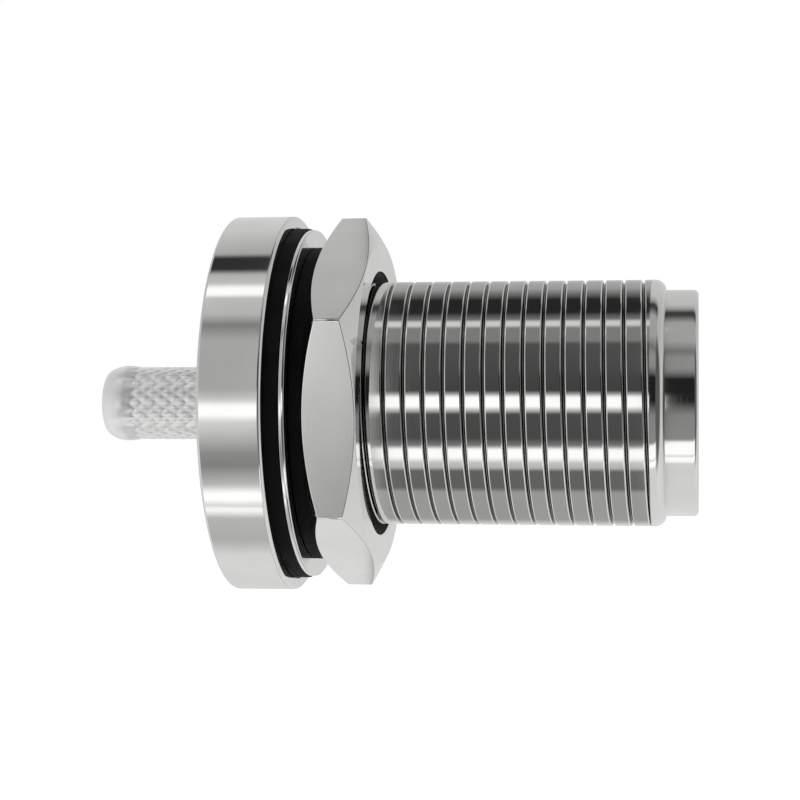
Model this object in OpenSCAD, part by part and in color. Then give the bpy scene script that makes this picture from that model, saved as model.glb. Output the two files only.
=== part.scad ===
// Bulkhead coaxial jack with a crimp tail: flanged, threaded shell with its seal,
// washer, nut seal and hex nut, and the contact and insulators that it holds.
// The axis runs along X: the mating end points to +X and the cable end to -X.
// The origin is the centre of the flange's front face, which meets the panel.
// All sizes are in millimetres.

/* [Flange] */
// Diameter of the round flange
flange_d = 24.6; // [24:0.1:30]
// Thickness of the flange
flange_t = 4.0; // [2.5:0.1:8]
// Width of the bevel on both rims of the flange
flange_bevel = 0.15; // [0.05:0.05:0.25]

/* [Threaded barrel] */
// Outside diameter of the thread
thread_d = 15.875; // [15:0.025:16.4]
// Distance from one thread crest to the next
thread_pitch = 1.24; // [1:0.01:1.6]
// Depth of the thread's grooves
thread_depth = 0.5; // [0.3:0.05:0.6]
// Width of the flat bottom of a groove
thread_root_w = 0.1; // [0.05:0.05:0.2]
// Length of the undercut between the flange and the thread
relief_len = 1.2; // [0.6:0.1:2]
// Depth of the undercut
relief_depth = 0.6; // [0.4:0.05:0.8]
// Length of the barrel, from the flange to the shoulder at the nose
barrel_len = 24.1; // [20:0.1:32]
// Length of the plain land in front of the last groove
land_len = 0.2; // [0.1:0.05:1]
// Length of the bevel between the land and the nose
bevel_len = 0.7; // [0.4:0.05:1.5]

/* [Nose] */
// Diameter of the plain nose in front of the thread
nose_d = 14.55; // [12:0.05:15]
// Length of the nose
nose_len = 2.0; // [1:0.1:4]
// Radius of the nose's outer edge
nose_round = 0.35; // [0.1:0.05:0.8]

/* [Bores of the shell] */
// Diameter of the bore that takes the mating plug's outer contact
mating_bore_d = 8.1; // [7.6:0.05:9]
// Depth of that bore, from the front of the nose
mating_bore_depth = 9.1; // [7:0.1:11]
// Width of the bevel at the bore's mouth
mouth_bevel = 0.35; // [0.1:0.05:0.6]
// Diameter of the air line behind the mating bore
air_line_d = 7.0; // [6:0.05:7.4]
// Length of the air line
air_line_len = 3.5; // [2:0.1:6]
// Diameter of the bore that holds the insulators and the head of the crimp stem
rear_bore_d = 10.0; // [9:0.05:11]

/* [Crimp stem] */
// Outside diameter of the stem
stem_d = 5.02; // [4.6:0.02:7]
// Length of the stem behind the flange
stem_len = 9.05; // [6:0.05:14]
// Diameter of the stem's bore, which takes the cable's dielectric
stem_bore_d = 3.3; // [3.2:0.05:3.6]
// Length of the stem's rounded end, which slips under the cable's braid
stem_end_len = 1.5; // [0.3:0.1:2.5]
// Width of the flat rim left round the bore at that end
stem_rim_w = 0.12; // [0.05:0.01:0.3]
// Length of the head inside the shell
stem_head_len = 7.0; // [5:0.1:8]

/* [Contact] */
// Outside diameter of the centre contact
contact_d = 3.04; // [2.6:0.02:3.4]
// How far the contact's tip stands behind the front of the nose
contact_setback = 4.4; // [4.2:0.1:6]
// Diameter of the socket in the contact's tip
socket_d = 1.7; // [1.5:0.05:2]
// Depth of the socket
socket_depth = 5.6; // [4:0.1:7]
// Number of slots that make the socket springy
slot_count = 4; // [2:1:4]
// Width of one slot
slot_w = 0.25; // [0.15:0.01:0.3]
// Length of the slots
slot_len = 4.8; // [3:0.1:6]
// Width of the bevel around the contact's tip
tip_bevel = 0.25; // [0.1:0.05:0.3]
// Diameter of the collar between the insulators
collar_d = 4.4; // [3.8:0.1:5]
// Thickness of the collar
collar_t = 1.0; // [0.6:0.1:1.5]
// Diameter of the contact's tail
tail_d = 2.8; // [2.2:0.1:3]
// How far the tail stops short of the crimp stem's head
tail_gap = 0.4; // [0.2:0.1:1]
// Diameter of the hole in the tail, which takes the cable's inner conductor
solder_hole_d = 1.0; // [0.8:0.1:1.6]
// Depth of that hole
solder_hole_depth = 3.5; // [2:0.1:4]

/* [Insulators] */
// Thickness of the front insulator
front_insulator_t = 4.0; // [2.5:0.1:6]

/* [Flange seal] */
// Width of the flange's lip outside the seal
seal_lip = 0.8; // [0.5:0.05:1.2]
// Width of the seal between its outer and inner edge
seal_w = 2.55; // [1.5:0.05:2.9]
// Depth of the seal's groove in the flange
groove_depth = 0.5; // [0.2:0.05:1]
// How far the seal stands out of the flange
seal_proud = 0.9; // [0.3:0.05:1.5]
// Radius of the seal's outer edge
seal_round = 0.2; // [0.05:0.05:0.25]

/* [Washer, nut seal and nut] */
// How far the washer's rim stays inside the seal's
washer_inset = 0.1; // [0:0.05:0.8]
// Thickness of the washer
washer_t = 0.35; // [0.25:0.05:1.2]
// Share of the nut's wall that the nut seal covers
nut_seal_cover = 0.9; // [0.6:0.02:1]
// Thickness of the nut seal
nut_seal_t = 0.9; // [0.4:0.05:1.5]
// Share of the flange's reach over the thread that the nut's corners cover
nut_reach = 0.97; // [0.75:0.01:1]
// Thickness of the nut
nut_t = 3.35; // [2.5:0.1:6]
// How far the nut's round faces stay inside its flats
nut_face_inset = 0.05; // [0.05:0.05:0.6]
// Angle of the nut's bevels from its faces
nut_bevel_angle = 28; // [15:1:35]
// Turn of the nut about its axis at rest
nut_turn = 5.5; // [0:0.5:59.5]
// Width of the countersink at both ends of the nut's bore
nut_countersink = 0.7; // [0.2:0.05:0.9]

/* [Fits] */
// Radial clearance of the nut on the thread
running_gap = 0.06; // [0.02:0.01:0.1]
// Radial clearance of the washer and the nut seal on the thread
loose_gap = 0.16; // [0.1:0.02:0.3]
// Radial clearance of pressed and seated pieces
press_gap = 0.02; // [0.01:0.01:0.04]
// Side clearance of the flange seal in its groove
groove_gap = 0.05; // [0.02:0.01:0.1]

/* [Hidden] */
$fn = 96;

nickel = "#b4b6b8";
satin_nickel = "#c6c7c8";
rubber = "#161616";
ptfe = "#f2f1ec";
gold = "#d0a548";

// the V flanks of a groove stand at 30 degrees to its middle plane
flank_angle = 30;
thread_r = thread_d / 2;
groove_half = thread_root_w / 2 + thread_depth * tan(flank_angle);
bevel_x = barrel_len - bevel_len;
last_groove_x = bevel_x - land_len - groove_half;
groove_count = 1 + floor((last_groove_x - relief_len - groove_half) / thread_pitch);

nose_x = barrel_len + nose_len;
mating_floor_x = nose_x - mating_bore_depth;
air_line_x = mating_floor_x - air_line_len;
rear_x = -flange_t;
stem_x = rear_x - stem_len;
stem_head_x = rear_x + stem_head_len;
stem_rim_r = stem_bore_d / 2 + stem_rim_w;

front_insulator_x = air_line_x - front_insulator_t;
insulator_r = rear_bore_d / 2 - press_gap;
collar_x = front_insulator_x - collar_t;
tip_x = nose_x - contact_setback;
tail_x = stem_head_x + tail_gap;

seal_r = flange_d / 2 - seal_lip;
seal_bore_r = seal_r - seal_w;
washer_x = seal_proud;
nut_seal_x = washer_x + washer_t;
nut_x = nut_seal_x + nut_seal_t;
loose_r = thread_r + loose_gap;
nut_bore_r = thread_r + running_gap;
nut_corner_r = thread_r + nut_reach * (flange_d / 2 - thread_r);
nut_face_r = nut_corner_r * cos(30) - nut_face_inset;
nut_seal_r = loose_r + nut_seal_cover * (nut_face_r - loose_r);

// cuts run this far past the faces that they open
past = 1;

// a closed outline of [radius, x] points, turned about the X axis
module turned(outline) {
    rotate([0, 90, 0])
        rotate_extrude(convexity = 8)
            polygon(outline);
}

// a plain disc or plug from x0 to x1
module plug(r, x0, x1) {
    translate([x0, 0, 0])
        rotate([0, 90, 0])
            cylinder(r = r, h = x1 - x0);
}

// points of a quarter-round edge: its centre is at [r, x], and it starts at angle a0
function rounded(r, x, size, a0, steps = 6) = oval(r, x, size, size, a0, steps);

// the same with its own reach along the radius and along x
function oval(r, x, reach_r, reach_x, a0, steps = 6) = [
    for (i = [0 : steps])
        let (a = a0 + 90 * i / steps)
            [r + reach_r * cos(a), x + reach_x * sin(a)]
];

module flange_and_barrel() {
    turned(concat(
        [
            [0, rear_x],
            [flange_d / 2 - flange_bevel, rear_x],
            [flange_d / 2, rear_x + flange_bevel],
            [flange_d / 2, -flange_bevel],
            [flange_d / 2 - flange_bevel, 0],
            [thread_r - relief_depth, 0],
            [thread_r - relief_depth, relief_len],
            [thread_r, relief_len],
            [thread_r, bevel_x],
            [nose_d / 2, barrel_len],
        ],
        rounded(nose_d / 2 - nose_round, nose_x - nose_round, nose_round, 0),
        [[0, nose_x]]
    ));
}

// one V groove of the thread, centred at x
module thread_groove(x) {
    root_r = thread_r - thread_depth;
    over = past * tan(flank_angle);
    turned([
        [root_r, x - thread_root_w / 2],
        [root_r, x + thread_root_w / 2],
        [thread_r + past, x + groove_half + over],
        [thread_r + past, x - groove_half - over],
    ]);
}

module shell_bores() {
    plug(rear_bore_d / 2, rear_x - past, air_line_x);
    plug(air_line_d / 2, air_line_x - past, mating_floor_x + past);
    plug(mating_bore_d / 2, mating_floor_x, nose_x + past);
    turned([
        [0, nose_x - mouth_bevel - mating_bore_d / 2],
        [mating_bore_d / 2 + mouth_bevel + past, nose_x + past],
        [0, nose_x + past],
    ]);
}

module seal_groove() {
    turned([
        [seal_bore_r - groove_gap, -groove_depth],
        [seal_r + groove_gap, -groove_depth],
        [seal_r + groove_gap, past],
        [seal_bore_r - groove_gap, past],
    ]);
}

module shell() {
    color(nickel)
        difference() {
            flange_and_barrel();
            shell_bores();
            seal_groove();
            for (i = [0 : groove_count - 1])
                thread_groove(last_groove_x - i * thread_pitch);
        }
}

module crimp_stem() {
    color(satin_nickel)
        difference() {
            union() {
                plug(insulator_r, rear_x, stem_head_x);
                turned(concat(
                    [
                        [0, rear_x + past],
                        [0, stem_x],
                    ],
                    oval(stem_rim_r, stem_x + stem_end_len, stem_d / 2 - stem_rim_r, stem_end_len, -90, 8),
                    [[stem_d / 2, rear_x + past]]
                ));
            }
            plug(stem_bore_d / 2, stem_x - past, stem_head_x + past);
        }
}

module front_insulator() {
    color(ptfe)
        difference() {
            plug(insulator_r, front_insulator_x, air_line_x);
            plug(contact_d / 2 + press_gap, front_insulator_x - past, air_line_x + past);
        }
}

module rear_insulator() {
    color(ptfe)
        difference() {
            plug(insulator_r, stem_head_x, front_insulator_x);
            plug(tail_d / 2 + press_gap, stem_head_x - past, front_insulator_x + past);
            plug(collar_d / 2 + press_gap, collar_x, front_insulator_x + past);
        }
}

module centre_contact() {
    color(gold)
        difference() {
            turned([
                [0, tail_x],
                [tail_d / 2, tail_x],
                [tail_d / 2, collar_x],
                [collar_d / 2, collar_x],
                [collar_d / 2, front_insulator_x],
                [contact_d / 2, front_insulator_x],
                [contact_d / 2, tip_x - tip_bevel],
                [contact_d / 2 - tip_bevel, tip_x],
                [0, tip_x],
            ]);
            plug(socket_d / 2, tip_x - socket_depth, tip_x + past);
            plug(solder_hole_d / 2, tail_x - past, tail_x + solder_hole_depth);
            for (i = [0 : slot_count - 1])
                rotate([360 * i / slot_count, 0, 0])
                    translate([tip_x - slot_len, -slot_w / 2, 0])
                        cube([slot_len + past, slot_w, contact_d]);
        }
}

module flange_seal() {
    color(rubber)
        turned(concat(
            [
                [seal_bore_r, -groove_depth],
                [seal_r, -groove_depth],
            ],
            rounded(seal_r - seal_round, seal_proud - seal_round, seal_round, 0),
            [[seal_bore_r, seal_proud]]
        ));
}

// a flat ring that sits loosely on the thread
module loose_ring(outer_r, x, t) {
    difference() {
        plug(outer_r, x, x + t);
        plug(loose_r, x - past, x + t + past);
    }
}

module washer() {
    color(nickel)
        loose_ring(seal_r - washer_inset, washer_x, washer_t);
}

module nut_seal() {
    color(rubber)
        loose_ring(nut_seal_r, nut_seal_x, nut_seal_t);
}

// a cone frustum from r0 at x0 to r1 at x1
module taper(r0, x0, r1, x1) {
    turned([[0, x0], [r0, x0], [r1, x1], [0, x1]]);
}

module hex_nut() {
    over_r = nut_corner_r + past;
    bevel_drop = (over_r - nut_face_r) * tan(nut_bevel_angle);
    end_x = nut_x + nut_t;
    sink = nut_countersink + past;
    color(nickel)
        difference() {
            intersection() {
                translate([nut_x, 0, 0])
                    rotate([0, 90, 0])
                        rotate([0, 0, nut_turn])
                            cylinder(r = nut_corner_r, h = nut_t, $fn = 6);
                turned([
                    [0, nut_x],
                    [nut_face_r, nut_x],
                    [over_r, nut_x + bevel_drop],
                    [over_r, end_x - bevel_drop],
                    [nut_face_r, end_x],
                    [0, end_x],
                ]);
            }
            plug(nut_bore_r, nut_x - past, end_x + past);
            taper(nut_bore_r + sink, nut_x - past, nut_bore_r, nut_x + nut_countersink);
            taper(nut_bore_r, end_x - nut_countersink, nut_bore_r + sink, end_x + past);
        }
}

shell();
crimp_stem();
front_insulator();
rear_insulator();
centre_contact();
flange_seal();
washer();
nut_seal();
hex_nut();
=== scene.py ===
import math
import bpy
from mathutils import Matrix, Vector


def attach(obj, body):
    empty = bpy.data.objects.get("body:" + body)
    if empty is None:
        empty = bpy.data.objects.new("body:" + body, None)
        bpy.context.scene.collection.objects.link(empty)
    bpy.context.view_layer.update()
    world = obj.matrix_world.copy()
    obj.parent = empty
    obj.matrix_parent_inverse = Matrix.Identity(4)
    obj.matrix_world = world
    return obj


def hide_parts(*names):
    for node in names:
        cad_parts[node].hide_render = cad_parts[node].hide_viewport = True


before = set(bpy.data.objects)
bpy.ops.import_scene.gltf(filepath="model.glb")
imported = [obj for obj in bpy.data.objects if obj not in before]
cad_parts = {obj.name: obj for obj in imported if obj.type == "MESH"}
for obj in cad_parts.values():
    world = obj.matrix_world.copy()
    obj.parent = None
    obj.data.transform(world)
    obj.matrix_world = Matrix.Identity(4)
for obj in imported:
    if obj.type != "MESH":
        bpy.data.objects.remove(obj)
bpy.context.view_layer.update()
scene = bpy.context.scene
mm = 0.001
mergeGap = 0.0005 * mm
cutGap = 0.0001 * mm
print("frame loaded")


def deselect():
    if bpy.context.object and bpy.context.object.mode != "OBJECT":
        bpy.ops.object.mode_set(mode="OBJECT")
    bpy.ops.object.select_all(action="DESELECT")


def makeActive(piece):
    deselect()
    piece.select_set(True)
    bpy.context.view_layer.objects.active = piece


def selectVerts(piece, test):
    bpy.ops.object.mode_set(mode="OBJECT")
    mesh = piece.data
    for part in (mesh.polygons, mesh.edges, mesh.vertices):
        part.foreach_set("select", [False] * len(part))
    for vert in mesh.vertices:
        x, y, z = vert.co / mm
        vert.select = test(x, y, z)
    bpy.ops.object.mode_set(mode="EDIT")
    bpy.ops.mesh.select_mode(type="VERT")


def selectRim(piece, x, reach=0.01):
    # only the open edges of one end, so that no sliver face beside the cut is taken with them
    bpy.ops.object.mode_set(mode="EDIT")
    bpy.ops.mesh.select_mode(type="EDGE")
    bpy.ops.mesh.select_all(action="DESELECT")
    bpy.ops.mesh.select_non_manifold(extend=False, use_wire=False, use_boundary=True,
                                     use_verts=False, use_multi_face=False,
                                     use_non_contiguous=False)
    bpy.ops.object.mode_set(mode="OBJECT")
    mesh = piece.data
    rim = {link.index for link in mesh.edges
           if link.select and abs(mesh.vertices[link.vertices[0]].co.x / mm - x) < reach}
    ends = {i for k in rim for i in mesh.edges[k].vertices}
    for part, chosen in ((mesh.edges, rim), (mesh.vertices, ends), (mesh.polygons, ())):
        part.foreach_set("select", [k in chosen for k in range(len(part))])
    return ends


def evenRim(piece, x, steps):
    # one vertex for each step of the lathe, so that the rim meets a turned one vertex by vertex
    slots = {}
    for i in selectRim(piece, x):
        co = piece.data.vertices[i].co
        turn = math.atan2(co.z, co.y) / (2 * math.pi) * steps
        slots.setdefault(round(turn) % steps, []).append((abs(turn - round(turn)), i))
    for group in slots.values():
        home = piece.data.vertices[min(group)[1]].co.copy()
        for _, i in group:
            piece.data.vertices[i].co = home
    bpy.ops.object.mode_set(mode="EDIT")
    mergeAll()
    bpy.ops.object.mode_set(mode="OBJECT")
    print("rim at", x, "evened to", len(slots), "of", steps)


def drawLine(name, points):
    # one vertex, then extruded from point to point in the XZ plane; points are (x, radius)
    deselect()
    bpy.ops.mesh.primitive_plane_add(size=mm, location=(0, 0, 0))
    piece = bpy.context.object
    piece.name = name
    piece.data.name = name
    bpy.ops.object.mode_set(mode="EDIT")
    bpy.ops.mesh.select_mode(type="VERT")
    bpy.ops.mesh.select_all(action="SELECT")
    bpy.ops.mesh.merge(type="CENTER")
    x, r = points[0]
    bpy.ops.transform.translate(value=(x * mm, 0, r * mm))
    for nextX, nextR in points[1:]:
        move = ((nextX - x) * mm, 0, (nextR - r) * mm)
        bpy.ops.mesh.extrude_vertices_move(TRANSFORM_OT_translate={"value": move})
        x, r = nextX, nextR
    return piece


def mergeAll(gap=mergeGap):
    bpy.ops.mesh.select_all(action="SELECT")
    bpy.ops.mesh.remove_doubles(threshold=gap)


def closeMesh(gap=mergeGap):
    mergeAll(gap)
    bpy.ops.mesh.normals_make_consistent(inside=False)
    bpy.ops.object.mode_set(mode="OBJECT")


def spinLine(piece, steps):
    bpy.ops.mesh.select_all(action="SELECT")
    bpy.ops.mesh.spin(steps=steps, dupli=False, angle=2 * math.pi, use_auto_merge=True,
                      center=(0, 0, 0), axis=(1, 0, 0))


def turned(name, points, steps=160):
    # a closed outline turned on the lathe
    piece = drawLine(name, points + points[:1])
    spinLine(piece, steps)
    closeMesh()
    return piece


def joinPieces(piece, other):
    deselect()
    other.select_set(True)
    piece.select_set(True)
    bpy.context.view_layer.objects.active = piece
    bpy.ops.object.join()


def applyAll(piece):
    makeActive(piece)
    for modifier in list(piece.modifiers):
        bpy.ops.object.modifier_apply(modifier=modifier.name)


def softShade(piece, angle):
    makeActive(piece)
    bpy.ops.object.shade_smooth_by_angle(angle=math.radians(angle))
    # large faces keep their own normals beside small roundings
    weighted = piece.modifiers.new("normals", "WEIGHTED_NORMAL")
    weighted.keep_sharp = True
    weighted.weight = 90
    bpy.ops.object.modifier_apply(modifier=weighted.name)


def edge(cornerX, cornerR, dirIn, dirOut, radius, count=4):
    # points that round the corner between two directions along the outline
    corner = Vector((cornerX, cornerR))
    fromPoint = corner - Vector(dirIn).normalized() * radius
    toPoint = corner + Vector(dirOut).normalized() * radius
    points = []
    for i in range(count + 1):
        t = i / count
        p = fromPoint * (1 - t) ** 2 + corner * 2 * t * (1 - t) + toPoint * t ** 2
        points.append((p.x, p.y))
    return points


def roundOff(outline):
    # outline: (x, radius, rounding) for each corner, closed
    points = []
    count = len(outline)
    for i, (x, r, size) in enumerate(outline):
        before = outline[i - 1]
        after = outline[(i + 1) % count]
        if size:
            points += edge(x, r, (x - before[0], r - before[1]), (after[0] - x, after[1] - r), size)
        else:
            points.append((x, r))
    return points


def quarterArc(startX, lengthX, startR, heightR, count=8):
    # a quarter of an ellipse, from its widest point to its far end
    points = []
    for i in range(count + 1):
        a = math.pi / 2 * (i / count)
        points.append((startX + lengthX * math.sin(a), startR + heightR * math.cos(a)))
    return points


cameraView = {
    "place": (26.1, -128.6, 0.0),
    "aim": (6.67, 0.0, 0.2),
    "lens": 89.0,
    "sensor": 36,
    "clip": (0.005, 10),
}

cameraData = bpy.data.cameras.new("camera")
camera = bpy.data.objects.new("camera", cameraData)
scene.collection.objects.link(camera)
camera.location = Vector(cameraView["place"]) * mm
sightLine = Vector(cameraView["aim"]) * mm - camera.location
camera.rotation_euler = sightLine.to_track_quat("-Z", "Y").to_euler()
cameraData.lens = cameraView["lens"]
cameraData.sensor_width = cameraView["sensor"]
cameraData.clip_start, cameraData.clip_end = cameraView["clip"]
scene.camera = camera
print("camera placed")


def newMaterial(name):
    material = bpy.data.materials.new(name)
    material.use_nodes = True
    nodes = material.node_tree.nodes
    return material, nodes, material.node_tree.links, nodes["Principled BSDF"]


def tune(material, values):
    shader = material.node_tree.nodes["Principled BSDF"]
    for name, value in values.items():
        shader.inputs[name].default_value = value


def latheCoords(nodes, links):
    # (x, distance from the axis, 0), so that a pattern runs round the axis on rims and faces
    coords = nodes.new("ShaderNodeTexCoord")
    split = nodes.new("ShaderNodeSeparateXYZ")
    links.new(coords.outputs["Object"], split.inputs[0])
    flat = nodes.new("ShaderNodeCombineXYZ")
    links.new(split.outputs["Y"], flat.inputs["X"])
    links.new(split.outputs["Z"], flat.inputs["Y"])
    radius = nodes.new("ShaderNodeVectorMath")
    radius.operation = "LENGTH"
    links.new(flat.outputs[0], radius.inputs[0])
    joined = nodes.new("ShaderNodeCombineXYZ")
    links.new(split.outputs["X"], joined.inputs["X"])
    links.new(radius.outputs["Value"], joined.inputs["Y"])
    return coords, joined


def noise(nodes, links, vector, scale, detail=3.0):
    texture = nodes.new("ShaderNodeTexNoise")
    texture.inputs["Scale"].default_value = scale
    texture.inputs["Detail"].default_value = detail
    links.new(vector, texture.inputs["Vector"])
    return texture


noiseSpan = (0.3, 0.7)


def rangeOf(nodes, links, value, low, high):
    mapping = nodes.new("ShaderNodeMapRange")
    mapping.inputs["From Min"].default_value = noiseSpan[0]
    mapping.inputs["From Max"].default_value = noiseSpan[1]
    mapping.inputs["To Min"].default_value = low
    mapping.inputs["To Max"].default_value = high
    links.new(value, mapping.inputs["Value"])
    return mapping


def blendColours(nodes, links, factor, low, high):
    ramp = nodes.new("ShaderNodeValToRGB")
    for item, place, colour in zip(ramp.color_ramp.elements, noiseSpan, (low, high)):
        item.position = place
        item.color = (*colour, 1)
    links.new(factor, ramp.inputs["Fac"])
    return ramp


def addBump(nodes, links, shader, height, strength, depth):
    bump = nodes.new("ShaderNodeBump")
    bump.inputs["Strength"].default_value = strength
    bump.inputs["Distance"].default_value = depth * mm
    links.new(height, bump.inputs["Height"])
    links.new(bump.outputs["Normal"], shader.inputs["Normal"])


def platedMetal(name, look):
    material, nodes, links, shader = newMaterial(name)
    coords, lathe = latheCoords(nodes, links)
    cloud = noise(nodes, links, coords.outputs["Object"], look["cloudScale"])
    marks = noise(nodes, links, lathe.outputs[0], look["markScale"], 2.0)
    tint = blendColours(nodes, links, cloud.outputs["Fac"], look["dark"], look["light"])
    links.new(tint.outputs["Color"], shader.inputs["Base Color"])
    rough = rangeOf(nodes, links, marks.outputs["Fac"], *look["roughness"])
    links.new(rough.outputs["Result"], shader.inputs["Roughness"])
    addBump(nodes, links, shader, marks.outputs["Fac"], look["markStrength"], look["markDepth"])
    shader.inputs["Metallic"].default_value = look["metallic"]
    return material


nickelLook = {
    "dark": (0.74, 0.735, 0.72), "light": (0.80, 0.795, 0.785),
    "cloudScale": 260, "markScale": 14000, "markStrength": 0.1, "markDepth": 0.002,
    "roughness": (0.04, 0.07), "metallic": 1.0,
}
satinLook = {
    "dark": (0.84, 0.835, 0.83), "light": (0.92, 0.915, 0.91),
    "cloudScale": 900, "markScale": 2600, "markStrength": 0.5, "markDepth": 0.01,
    "roughness": (0.28, 0.40), "metallic": 0.8,
}
goldLook = {
    "dark": (0.86, 0.62, 0.27), "light": (0.93, 0.71, 0.34),
    "cloudScale": 500, "markScale": 6000, "markStrength": 0.3, "markDepth": 0.004,
    "roughness": (0.12, 0.22), "metallic": 1.0,
}
# painted shade: a near-black look that stands in for the shade deep inside the nut's countersink
# and bore
boreShadeLook = {
    "dark": (0.004, 0.004, 0.004), "light": (0.012, 0.012, 0.011),
    "cloudScale": 900, "markScale": 4000, "markStrength": 0.4, "markDepth": 0.01,
    "roughness": (0.5, 0.7), "metallic": 0.0,
}
nickel = platedMetal("polishedNickel", nickelLook)
# painted shade in the thread's grooves: the colour falls to rootLevel between crestR and rootR
threadShade = {"rootR": 7.885, "crestR": 7.93, "rootLevel": 0.28}


def grooveShadedMetal(name, look, shade):
    # painted shade: the base colour is darkened towards the grooves' roots, by the distance from
    # the axis
    material = platedMetal(name, look)
    nodes, links = material.node_tree.nodes, material.node_tree.links
    shader = nodes["Principled BSDF"]
    lathe = latheCoords(nodes, links)[1]
    split = nodes.new("ShaderNodeSeparateXYZ")
    links.new(lathe.outputs[0], split.inputs[0])
    level = nodes.new("ShaderNodeMapRange")
    level.inputs["From Min"].default_value = shade["rootR"] * mm
    level.inputs["From Max"].default_value = shade["crestR"] * mm
    level.inputs["To Min"].default_value = shade["rootLevel"]
    level.inputs["To Max"].default_value = 1.0
    links.new(split.outputs["Y"], level.inputs["Value"])
    tint = shader.inputs["Base Color"].links[0].from_socket
    scaled = nodes.new("ShaderNodeVectorMath")
    scaled.operation = "SCALE"
    links.new(tint, scaled.inputs[0])
    links.new(level.outputs["Result"], scaled.inputs["Scale"])
    links.new(scaled.outputs[0], shader.inputs["Base Color"])
    return material


grooveShadedNickel = grooveShadedMetal("nickelWithGrooveShade", nickelLook, threadShade)
# painted shade for the nut's mouth, near-black with almost no shine
paintedBoreShade = platedMetal("paintedBoreShade", boreShadeLook)
tune(paintedBoreShade, {"Specular IOR Level": 0.1})
satinNickel = platedMetal("satinNickel", satinLook)
gold = platedMetal("goldPlate", goldLook)

rubberLook = {
    "dark": (0.002, 0.002, 0.002), "light": (0.005, 0.005, 0.005),
    "cloudScale": 450, "grainScale": 9000, "grainStrength": 0.4, "grainDepth": 0.006,
    "roughness": (0.5, 0.7),
}


def moulded(name, look):
    material, nodes, links, shader = newMaterial(name)
    coords = nodes.new("ShaderNodeTexCoord")
    grain = noise(nodes, links, coords.outputs["Object"], look["grainScale"], 4.0)
    cloud = noise(nodes, links, coords.outputs["Object"], look["cloudScale"])
    tint = blendColours(nodes, links, cloud.outputs["Fac"], look["dark"], look["light"])
    links.new(tint.outputs["Color"], shader.inputs["Base Color"])
    rough = rangeOf(nodes, links, cloud.outputs["Fac"], *look["roughness"])
    links.new(rough.outputs["Result"], shader.inputs["Roughness"])
    addBump(nodes, links, shader, grain.outputs["Fac"], look["grainStrength"], look["grainDepth"])
    return material


rubber = moulded("blackRubber", rubberLook)
tune(rubber, {"Specular IOR Level": 0.08})
ptfeLook = {
    "dark": (0.84, 0.83, 0.80), "light": (0.90, 0.895, 0.87),
    "cloudScale": 200, "grainScale": 4000, "grainStrength": 0.4, "grainDepth": 0.004,
    "roughness": (0.35, 0.5),
}
ptfe = moulded("whitePtfe", ptfeLook)
tune(ptfe, {"Subsurface Weight": 0.15, "Subsurface Scale": 1.0 * mm})
print("materials mixed")


def finishPiece(piece, material, body, node):
    piece.data.materials.clear()
    piece.data.materials.append(material)
    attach(piece, body)
    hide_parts(node)


shellSize = {
    "steps": 144, "shadeAngle": 32,
    "flangeR": 12.3, "flangeT": 4.0, "rimBevel": 0.15, "rimRound": 0.06,
    "threadR": 7.9375, "pitch": 1.24, "turns": 22, "grooveAt": 22.58, "flank": 24,
    "grooveDepth": 0.22, "grooveFlat": 0.02, "rootRound": 0.015, "crestRound": 0.06,
    "crestHold": 0.025, "shadedFromR": 7.45,
    "reliefX": 1.2, "reliefR": 7.5375, "reliefRound": 0.2,
    "landX": 23.1, "landR": 7.95, "shoulderX": 23.3, "noseRootX": 24.05, "noseRootStep": 0.02,
    "noseR": 7.275, "noseX": 26.1, "noseRound": 0.35,
    "sealInner": 8.9, "sealOuter": 11.55, "sealDepth": 0.5,
    "sealInnerRound": 0.04, "sealOuterRound": 0.05,
    "matingR": 4.05, "matingX": 17.0, "mouthBevel": 0.35, "mouthRound": 0.08,
    "airR": 3.5, "airX": 13.5, "airRound": 0.05, "rearR": 5.0, "rearBevel": 0.12,
    "rearRound": 0.03,
}


def threadTooth(size):
    # one groove with half a crest on both sides, from crest middle to crest middle
    half = size["pitch"] / 2
    root = size["threadR"] - size["grooveDepth"]
    topX = size["grooveFlat"] + size["grooveDepth"] * math.tan(math.radians(size["flank"]))
    flank = (topX - size["grooveFlat"], size["grooveDepth"])
    right = [(0.0, root)]
    right += edge(size["grooveFlat"], root, (1, 0), flank, size["rootRound"], count=2)
    right += edge(topX, size["threadR"], flank, (1, 0), size["crestRound"])
    # a point close to the rounding keeps the crest's shading level
    right += [(topX + size["crestRound"] + size["crestHold"], size["threadR"]),
              (half, size["threadR"])]
    left = [(-x, r) for x, r in reversed(right[1:])]
    # the last two turns lie past the groove nearest to the nose, and are cut off
    return [(x + size["grooveAt"] - size["pitch"] * (size["turns"] - 2), r)
            for x, r in left + right]


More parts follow.
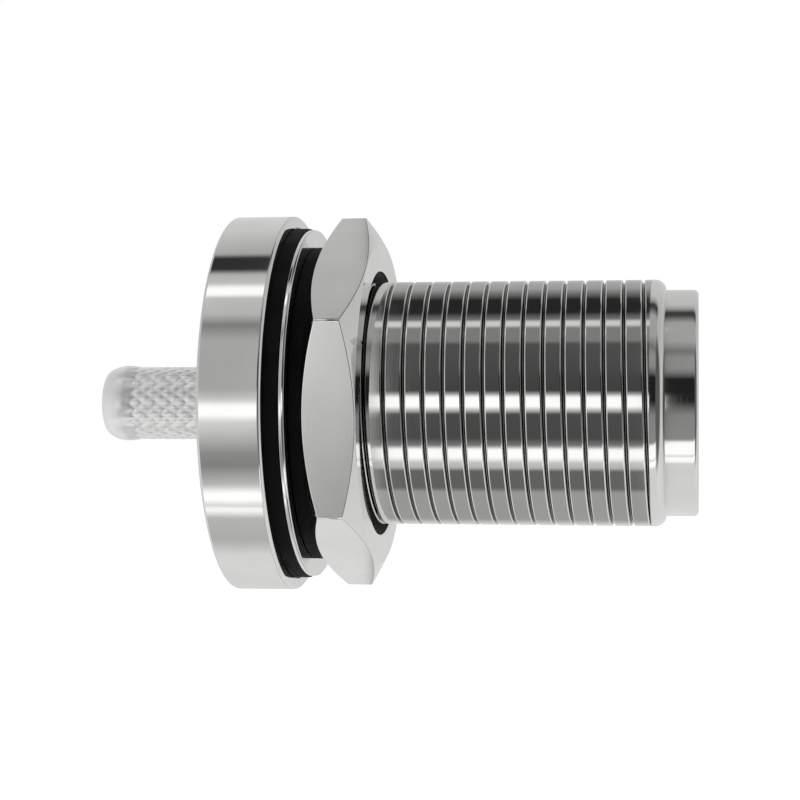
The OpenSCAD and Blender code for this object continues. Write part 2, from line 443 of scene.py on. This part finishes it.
def makeShell(size):
    thread = drawLine("shellBody", threadTooth(size))
    bpy.ops.object.mode_set(mode="OBJECT")
    screw = thread.modifiers.new("thread", "SCREW")
    screw.axis = "X"
    screw.angle = 2 * math.pi
    screw.screw_offset = size["pitch"] * mm
    screw.iterations = size["turns"]
    screw.steps = screw.render_steps = size["steps"]
    screw.use_merge_vertices = True
    screw.merge_threshold = cutGap
    applyAll(thread)
    bpy.ops.object.mode_set(mode="EDIT")
    mergeAll()
    for x, outer in ((size["reliefX"], False), (size["landX"], True)):
        bpy.ops.mesh.select_all(action="SELECT")
        bpy.ops.mesh.bisect(plane_co=(x * mm, 0, 0), plane_no=(1, 0, 0), use_fill=False,
                            clear_inner=not outer, clear_outer=outer, threshold=cutGap)
    mergeAll()
    for x in (size["reliefX"], size["landX"]):
        evenRim(thread, x, size["steps"])

    s = size
    front, back = 0, -s["flangeT"]
    outline = [
        (s["reliefX"], s["reliefR"], 0), (front, s["reliefR"], s["reliefRound"]),
        (front, s["sealInner"], s["sealInnerRound"]), (-s["sealDepth"], s["sealInner"], 0),
        (-s["sealDepth"], s["sealOuter"], 0), (front, s["sealOuter"], s["sealOuterRound"]),
        (front, s["flangeR"] - s["rimBevel"], s["rimRound"]),
        (-s["rimBevel"], s["flangeR"], s["rimRound"]),
        (s["rimBevel"] + back, s["flangeR"], s["rimRound"]),
        (back, s["flangeR"] - s["rimBevel"], s["rimRound"]),
        (back, s["rearR"] + s["rearBevel"], s["rearRound"]),
        (s["rearBevel"] + back, s["rearR"], 0),
        (s["airX"], s["rearR"], 0), (s["airX"], s["airR"], s["airRound"]),
        (s["matingX"], s["airR"], s["airRound"]), (s["matingX"], s["matingR"], 0),
        (s["noseX"] - s["mouthBevel"], s["matingR"], s["mouthRound"]),
        (s["noseX"], s["matingR"] + s["mouthBevel"], s["mouthRound"]),
        (s["noseX"], s["noseR"], s["noseRound"]),
        (s["noseRootX"] + s["noseRootStep"], s["noseR"], 0),
    ]
    shoulder = quarterArc(s["shoulderX"], s["noseRootX"] - s["shoulderX"],
                          s["noseR"], s["landR"] - s["noseR"])
    points = roundOff(outline) + shoulder[::-1] + [(s["landX"], s["landR"])]
    core = drawLine("shellCore", points)
    spinLine(core, size["steps"])
    mergeAll()
    joinPieces(thread, core)
    # the thread's cut ends are joined to the undercut's wall and to the land
    for x in (size["reliefX"], size["landX"]):
        selectRim(thread, x)
        bpy.ops.object.mode_set(mode="EDIT")
        bpy.ops.mesh.bridge_edge_loops()
    bpy.ops.mesh.select_mode(type="VERT")
    closeMesh()
    thread.name = "shellBody"
    softShade(thread, size["shadeAngle"])
    return thread


shell = makeShell(shellSize)
finishPiece(shell, nickel, "jack", "shell")
# the thread's faces take the nickel with painted shade in the grooves' roots
shell.data.materials.append(grooveShadedNickel)
for face in shell.data.polygons:
    x, y, z = face.center / mm
    if (shellSize["reliefX"] < x < shellSize["landX"]
            and math.hypot(y, z) > shellSize["shadedFromR"]):
        face.material_index = 1
print("shell turned and threaded:", len(shell.data.polygons), "faces")


stemSize = {
    "radius": 2.51, "rearX": -4.0, "endX": -13.05, "endLen": 1.5, "rimR": 1.77,
    "diamonds": 22, "rows": 15, "knurlDepth": 0.16, "softening": 2, "knurlGap": 0.03,
    "headR": 4.98, "headX": 3.0, "headRound": 0.1, "headBevel": 0.1, "headBevelRound": 0.02,
    "boreR": 1.65, "boreBevel": 0.06, "boreRound": 0.03, "shadeAngle": 40,
}


def makeStem(size):
    # the knurl: a grid whose every other vertex is pushed in, joined across into pyramids
    s = size
    straightEnd = s["endX"] + s["endLen"]
    rowStep = (straightEnd - s["rearX"]) / s["rows"]
    line = [(s["rearX"] + rowStep * i, s["radius"]) for i in range(s["rows"] + 1)]
    knurl = drawLine("crimpStem", line)
    columns = s["diamonds"] * 2
    spinLine(knurl, columns)
    mergeAll()

    def isLow(x, y, z):
        row = round((x - s["rearX"]) / rowStep)
        column = round(math.atan2(z, y) / (2 * math.pi) * columns)
        return (row + column) % 2 == 0 and 0 < row < s["rows"]

    selectVerts(knurl, isLow)
    bpy.ops.mesh.vert_connect()
    selectVerts(knurl, isLow)
    shrink = 1 - s["knurlDepth"] / s["radius"]
    bpy.ops.transform.resize(value=(1, shrink, shrink), center_override=(0, 0, 0))
    bpy.ops.object.mode_set(mode="OBJECT")
    smooth = knurl.modifiers.new("soft", "SUBSURF")
    smooth.levels = smooth.render_levels = s["softening"]
    applyAll(knurl)

    dome = quarterArc(straightEnd, -s["endLen"], s["rimR"], s["radius"] - s["rimR"])
    rest = dome + roundOff([
        (s["endX"], s["boreR"] + s["boreBevel"], 0), (s["endX"] + s["boreBevel"], s["boreR"], 0),
        (s["headX"], s["boreR"], s["boreRound"]), (s["headX"], s["headR"], s["headRound"]),
        (s["rearX"] + s["headBevel"], s["headR"], s["headBevelRound"]),
        (s["rearX"], s["headR"] - s["headBevel"], s["headBevelRound"]),
    ]) + [(s["rearX"], s["radius"])]
    core = drawLine("stemCore", rest)
    # the softened knurl has four faces for each column
    spinLine(core, columns * 2 ** s["softening"])
    joinPieces(knurl, core)
    bpy.ops.object.mode_set(mode="EDIT")
    closeMesh(s["knurlGap"] * mm)
    softShade(knurl, s["shadeAngle"])
    return knurl


stem = makeStem(stemSize)
finishPiece(stem, satinNickel, "jack", "crimp_stem")
print("crimp stem knurled:", len(stem.data.polygons), "faces")


sealSize = {"inner": 8.95, "outer": 11.5, "back": -0.5, "backRound": 0,
            "front": 0.9, "frontRound": 0.2, "shadeAngle": 35}
washerSize = {"inner": 8.0975, "outer": 11.4, "back": 0.9, "backRound": 0.07,
              "front": 1.25, "frontRound": 0.07, "shadeAngle": 35}
nutSealSize = {"inner": 8.0975, "outer": 10.25, "back": 1.25, "backRound": 0.12,
               "front": 2.14, "frontRound": 0.12, "shadeAngle": 35}


def makeRing(name, size):
    ring = turned(name, roundOff([
        (size["back"], size["inner"], size["backRound"]),
        (size["back"], size["outer"], size["backRound"]),
        (size["front"], size["outer"], size["frontRound"]),
        (size["front"], size["inner"], size["frontRound"]),
    ]))
    softShade(ring, size["shadeAngle"])
    return ring


seal = makeRing("flangeSeal", sealSize)
finishPiece(seal, rubber, "jack", "flange_seal")
washer = makeRing("flatWasher", washerSize)
finishPiece(washer, nickel, "clamp_rings", "washer")
nutSeal = makeRing("nutSeal", nutSealSize)
finishPiece(nutSeal, rubber, "clamp_rings", "nut_seal")
print("rings turned")


nutSize = {
    "cornerR": 12.169, "back": 2.15, "thick": 3.35, "faceR": 10.489, "bevelAngle": 28,
    "boreR": 7.9975, "sink": 0.7, "turn": 5.5, "edge": 0.07, "edgeAngle": 35,
    "cornerRound": 0.12, "shadeAngle": 25, "blankSteps": 192, "boreShadeSink": 0.97, "flatFace": 0.9,
}


def makeNut(size):
    s = size
    middle = s["back"] + s["thick"] / 2
    deselect()
    bpy.ops.mesh.primitive_cylinder_add(vertices=6, radius=s["cornerR"] * mm,
                                        depth=s["thick"] * mm, location=(middle * mm, 0, 0),
                                        rotation=(0, math.pi / 2, 0))
    nut = bpy.context.object
    nut.name = "hexNut"
    nut.data.name = "hexNut"
    bpy.ops.object.transform_apply(location=True, rotation=True, scale=True)
    # turned so that its corners stand where the solid's do
    first = nut.data.vertices[0].co
    start = math.degrees(math.atan2(first.z, first.y))
    goal = 30 + s["turn"]
    turn = math.radians((goal - start + 30) % 60 - 30)
    nut.rotation_euler = (turn, 0, 0)
    bpy.ops.object.transform_apply(location=False, rotation=True, scale=False)
    corners = nut.modifiers.new("corners", "BEVEL")
    corners.width = s["cornerRound"] * mm
    corners.segments = 3
    corners.affect = "EDGES"
    # only the six long edges
    corners.limit_method = "WEIGHT"
    weights = nut.data.attributes.new("bevel_weight_edge", "FLOAT", "EDGE")
    for edgeItem in nut.data.edges:
        a, b = (nut.data.vertices[i].co for i in edgeItem.vertices)
        weights.data[edgeItem.index].value = 1.0 if abs(a.x - b.x) > mm else 0.0
    applyAll(nut)

    front = s["back"] + s["thick"]
    reach = s["cornerR"] + 1
    drop = (reach - s["faceR"]) * math.tan(math.radians(s["bevelAngle"]))
    blank = turned("nutBlank", [
        (s["back"], s["boreR"] + s["sink"]), (s["back"], s["faceR"]), (s["back"] + drop, reach),
        (front - drop, reach), (front, s["faceR"]), (front, s["boreR"] + s["sink"]),
        (front - s["sink"], s["boreR"]), (s["back"] + s["sink"], s["boreR"]),
    ], s["blankSteps"])
    keep = nut.modifiers.new("blank", "BOOLEAN")
    keep.operation = "INTERSECT"
    keep.solver = "EXACT"
    keep.object = blank
    applyAll(nut)
    bpy.data.objects.remove(blank)
    makeActive(nut)
    bpy.ops.object.mode_set(mode="EDIT")
    closeMesh()
    edges = nut.modifiers.new("edges", "BEVEL")
    edges.width = s["edge"] * mm
    edges.segments = 2
    edges.limit_method = "ANGLE"
    edges.angle_limit = math.radians(s["edgeAngle"])
    edges.use_clamp_overlap = True
    applyAll(nut)
    softShade(nut, s["shadeAngle"])
    return nut


nut = makeNut(nutSize)
finishPiece(nut, nickel, "nut", "hex_nut")
# painted shade: the countersink's and bore's faces take the near-black material in place of the
# shade that falls deep in the nut's mouth
nut.data.materials.append(paintedBoreShade)
boreShadeR = nutSize["boreR"] + nutSize["sink"] * nutSize["boreShadeSink"]
for face in nut.data.polygons:
    x, y, z = face.center / mm
    if math.hypot(y, z) < boreShadeR and abs(face.normal.x) < nutSize["flatFace"]:
        face.material_index = 1
print("nut made:", len(nut.data.polygons), "faces")


contactSize = {
    "steps": 96, "shadeAngle": 32,
    "radius": 1.52, "tipX": 21.7, "tipBevel": 0.25, "tipRound": 0.08,
    "socketR": 0.85, "socketDepth": 5.6, "socketCone": 0.3, "socketBevel": 0.12,
    "socketRound": 0.05, "collarR": 2.2, "collarX": 8.5, "collarT": 1.0, "collarRound": 0.05,
    "tailR": 1.4, "tailX": 3.4, "tailRound": 0.12,
    "holeR": 0.5, "holeDepth": 3.5, "holeCone": 0.2, "holeRound": 0.06,
    "slotW": 0.25, "slotLen": 4.8, "cutterW": 4.0, "cutterOver": 2.0,
}


def makeContact(size):
    s = size
    socketEnd = s["tipX"] - s["socketDepth"]
    collarEnd = s["collarX"] + s["collarT"]
    holeEnd = s["tailX"] + s["holeDepth"]
    contact = turned("centreContact", roundOff([
        (socketEnd - s["socketCone"], 0.0, 0), (socketEnd, s["socketR"], 0),
        (s["tipX"] - s["socketBevel"], s["socketR"], s["socketRound"]),
        (s["tipX"], s["socketR"] + s["socketBevel"], s["socketRound"]),
        (s["tipX"], s["radius"] - s["tipBevel"], s["tipRound"]),
        (s["tipX"] - s["tipBevel"], s["radius"], s["tipRound"]),
        (collarEnd, s["radius"], 0), (collarEnd, s["collarR"], s["collarRound"]),
        (s["collarX"], s["collarR"], s["collarRound"]), (s["collarX"], s["tailR"], 0),
        (s["tailX"], s["tailR"], s["tailRound"]), (s["tailX"], s["holeR"], s["holeRound"]),
        (holeEnd, s["holeR"], 0), (holeEnd + s["holeCone"], 0.0, 0),
    ]), s["steps"])
    # two cutters at right angles, which also reach past the tip
    middle = s["tipX"] + s["cutterOver"] / 2 - s["slotLen"] / 2
    for width, height in ((s["cutterW"], s["slotW"]), (s["slotW"], s["cutterW"])):
        deselect()
        bpy.ops.mesh.primitive_cube_add(size=1, location=(middle * mm, 0, 0))
        cutter = bpy.context.object
        cutter.scale = ((s["slotLen"] + s["cutterOver"]) * mm, width * mm, height * mm)
        slot = contact.modifiers.new("slot", "BOOLEAN")
        slot.operation = "DIFFERENCE"
        slot.solver = "EXACT"
        slot.object = cutter
        applyAll(contact)
        bpy.data.objects.remove(cutter)
    softShade(contact, s["shadeAngle"])
    return contact


contact = makeContact(contactSize)
finishPiece(contact, gold, "jack", "centre_contact")
print("contact slotted:", len(contact.data.polygons), "faces")

for name in ("front_insulator", "rear_insulator"):
    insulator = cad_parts[name]
    insulator.data.materials.clear()
    insulator.data.materials.append(ptfe)


# how bright the studio is at each height angle round the bar: 0 is level towards the
# camera, 90 straight up, 180 behind; the greys are as seen in nickel
noseBands = [(-180, 195), (-154, 207), (-100, 206), (-72, 204), (-63, 206), (-60.4, 253),
             (-56, 253), (-54.5, 200), (-52.6, 253), (-40, 253), (-37, 135), (-12, 128),
             (-1, 60), (2, 28), (24, 28), (30, 110), (35, 136), (45.7, 136), (53, 110),
             (65, 155), (88, 155), (94, 110), (99, 60), (104, 60), (110, 150), (118, 185),
             (154, 187), (170, 190)]
barrelBands = [(-180, 195), (-160, 200), (-141, 150), (-92, 150), (-86, 95), (-66, 95),
               (-62, 180), (-57, 190), (-54, 230), (-51, 253), (-44, 253), (-40, 120),
               (-33, 70), (-10, 72), (-5.5, 200), (-3, 253), (5, 253), (8, 160), (11, 62),
               (40, 72), (56, 75), (60, 120), (74, 120), (77, 200), (81, 200), (84, 110),
               (93, 35), (113, 35), (122, 100), (135, 150), (155, 160), (175, 185)]
nutBands = [(-180, 195), (-150, 205), (-136, 210), (-133, 207), (-110, 200), (-60, 150),
            (-15, 153), (-8.5, 198), (10, 200), (60, 165), (110, 159), (115, 185), (150, 190)]
flangeBands = [(-180, 190), (-150, 200), (-119, 210), (-105, 210), (-91, 171), (-73.5, 178),
               (-69, 235), (-66.7, 252), (-64.5, 208), (-60, 255), (-56, 255), (-50, 182),
               (-38, 127), (-30, 136), (-11, 208), (-7, 255), (-2, 255), (2, 196), (8, 163),
               (38, 163), (47.7, 122), (55, 178), (66, 185), (69, 253), (73.5, 253), (77, 190),
               (84, 175), (88, 45), (99, 45), (103, 165), (130, 193), (165, 195)]

# each fade is a span of the looked-at direction's X, or of its Y where the name says so
studio = {
    "nickelGrey": 0.76, "softLevel": 0.85,
    "noseFade": (-0.022, -0.017), "nutFade": (-0.160, -0.1655), "flangeFade": (-0.2005, -0.206),
    "wallFade": (0.35, 0.55), "wallSlope": -0.2, "wallLevel": 0.7,
    "shadeFadeY": (-0.15, -0.45), "shadeFadeX": (0.05, 0.2), "shadeDepth": 0.83,
    "overheadPower": 0.35, "overheadSize": 300, "overheadPlace": (40, -60, 280),
    "overheadAim": (6, 0, 0),
    "floorAt": -45.0, "floorReach": 900, "floorGrey": 0.82, "floorRough": 0.8, "floorGlow": 0.4,
}


def fromGrey(value):
    level = value / 255
    linear = level / 12.92 if level <= 0.04045 else ((level + 0.055) / 1.055) ** 2.4
    return linear / studio["nickelGrey"]


def bandRamp(nodes, links, factor, bands):
    ramp = nodes.new("ShaderNodeValToRGB")
    elements = ramp.color_ramp.elements
    while len(elements) > 1:
        elements.remove(elements[-1])
    for i, (angle, grey) in enumerate(bands):
        item = elements[0] if i == 0 else elements.new((angle + 180) / 360)
        item.position = (angle + 180) / 360
        level = fromGrey(grey)
        item.color = (level, level, level, 1)
    links.new(factor, ramp.inputs["Fac"])
    return ramp.outputs["Color"]


def mathNode(nodes, links, operation, *values):
    node = nodes.new("ShaderNodeMath")
    node.operation = operation
    for i, value in enumerate(values):
        if isinstance(value, (int, float)):
            node.inputs[i].default_value = value
        else:
            links.new(value, node.inputs[i])
    return node.outputs[0]


def mixColours(nodes, links, factor, a, b):
    mix = nodes.new("ShaderNodeMix")
    mix.data_type = "RGBA"
    links.new(factor, mix.inputs[0])
    for socket, value in ((mix.inputs[6], a), (mix.inputs[7], b)):
        if isinstance(value, tuple):
            socket.default_value = value
        else:
            links.new(value, socket)
    return mix.outputs[2]


def fade(nodes, links, value, start, end):
    step = nodes.new("ShaderNodeMapRange")
    step.interpolation_type = "SMOOTHSTEP"
    step.inputs["From Min"].default_value = start
    step.inputs["From Max"].default_value = end
    links.new(value, step.inputs["Value"])
    return step.outputs["Result"]


def mirroredRays(nodes, links, path):
    return mathNode(nodes, links, "MAXIMUM", path.outputs["Is Glossy Ray"],
                    path.outputs["Is Transmission Ray"])


def makeWorld():
    world = bpy.data.worlds.new("studio")
    scene.world = world
    world.use_nodes = True
    nodes, links = world.node_tree.nodes, world.node_tree.links
    coords = nodes.new("ShaderNodeTexCoord")
    split = nodes.new("ShaderNodeSeparateXYZ")
    links.new(coords.outputs["Generated"], split.inputs[0])
    towards = mathNode(nodes, links, "MULTIPLY", split.outputs["Y"], -1.0)
    angle = mathNode(nodes, links, "ARCTAN2", split.outputs["Z"], towards)
    factor = mathNode(nodes, links, "MULTIPLY_ADD", angle, 0.5 / math.pi, 0.5)
    side = split.outputs["X"]
    bands = bandRamp(nodes, links, factor, barrelBands)
    for reach, others in (("noseFade", noseBands), ("nutFade", nutBands),
                          ("flangeFade", flangeBands)):
        bands = mixColours(nodes, links, fade(nodes, links, side, *studio[reach]), bands,
                           bandRamp(nodes, links, factor, others))
    # towards both ends of the axis the bands give way to one soft wall
    height = mathNode(nodes, links, "MULTIPLY_ADD", split.outputs["Z"], studio["wallSlope"],
                      studio["wallLevel"])
    # the wall in front of the nose is dark on the camera's side
    forward = mathNode(nodes, links, "MULTIPLY",
                       fade(nodes, links, split.outputs["Y"], *studio["shadeFadeY"]),
                       fade(nodes, links, side, *studio["shadeFadeX"]))
    forward = mathNode(nodes, links, "MULTIPLY_ADD", forward, -studio["shadeDepth"], 1.0)
    height = mathNode(nodes, links, "MULTIPLY", height, forward)
    endWall = nodes.new("ShaderNodeCombineColor")
    for i in range(3):
        links.new(height, endWall.inputs[i])
    reach = mathNode(nodes, links, "ABSOLUTE", side)
    bands = mixColours(nodes, links, fade(nodes, links, reach, *studio["wallFade"]), bands,
                       endWall.outputs["Color"])
    path = nodes.new("ShaderNodeLightPath")
    mirrored = mirroredRays(nodes, links, path)
    soft = studio["softLevel"]
    seen = mixColours(nodes, links, mirrored, (soft, soft, soft, 1), bands)
    seen = mixColours(nodes, links, path.outputs["Is Camera Ray"], seen, (1, 1, 1, 1))
    links.new(seen, nodes["Background"].inputs["Color"])
    nodes["Background"].inputs["Strength"].default_value = 1.0


makeWorld()

overheadData = bpy.data.lights.new("overhead", "AREA")
overheadData.energy = studio["overheadPower"]
overheadData.size = studio["overheadSize"] * mm
overhead = bpy.data.objects.new("overhead", overheadData)
overhead.location = Vector(studio["overheadPlace"]) * mm
beam = Vector(studio["overheadAim"]) * mm - overhead.location
overhead.rotation_euler = beam.to_track_quat("-Z", "Y").to_euler()
overhead.visible_glossy = False
scene.collection.objects.link(overhead)

deselect()
bpy.ops.mesh.primitive_circle_add(vertices=128, radius=studio["floorReach"] * mm, fill_type="NGON",
                                  location=(0, 0, studio["floorAt"] * mm))
floor = bpy.context.object
floor.name = "floor"
bpy.ops.object.transform_apply(location=True, rotation=False, scale=False)


def floorMaterial():
    material, nodes, links, shader = newMaterial("paleFloor")
    grey = studio["floorGrey"]
    tune(material, {"Base Color": (grey, grey, grey, 1), "Roughness": studio["floorRough"],
                    "Specular IOR Level": 0.0})
    glow = nodes.new("ShaderNodeEmission")
    path = nodes.new("ShaderNodeLightPath")
    seen = mathNode(nodes, links, "MULTIPLY", path.outputs["Is Camera Ray"],
                    studio["floorGlow"])
    links.new(seen, glow.inputs["Strength"])
    both = nodes.new("ShaderNodeAddShader")
    links.new(shader.outputs[0], both.inputs[0])
    links.new(glow.outputs[0], both.inputs[1])
    # metal looks through it to the studio's bands
    clear = nodes.new("ShaderNodeBsdfTransparent")
    mirrored = mirroredRays(nodes, links, path)
    mix = nodes.new("ShaderNodeMixShader")
    links.new(mirrored, mix.inputs[0])
    links.new(both.outputs[0], mix.inputs[1])
    links.new(clear.outputs[0], mix.inputs[2])
    links.new(mix.outputs[0], nodes["Material Output"].inputs["Surface"])
    return material


floor.data.materials.append(floorMaterial())
scene.view_settings.view_transform = "Standard"
print("studio lit")

deselect()
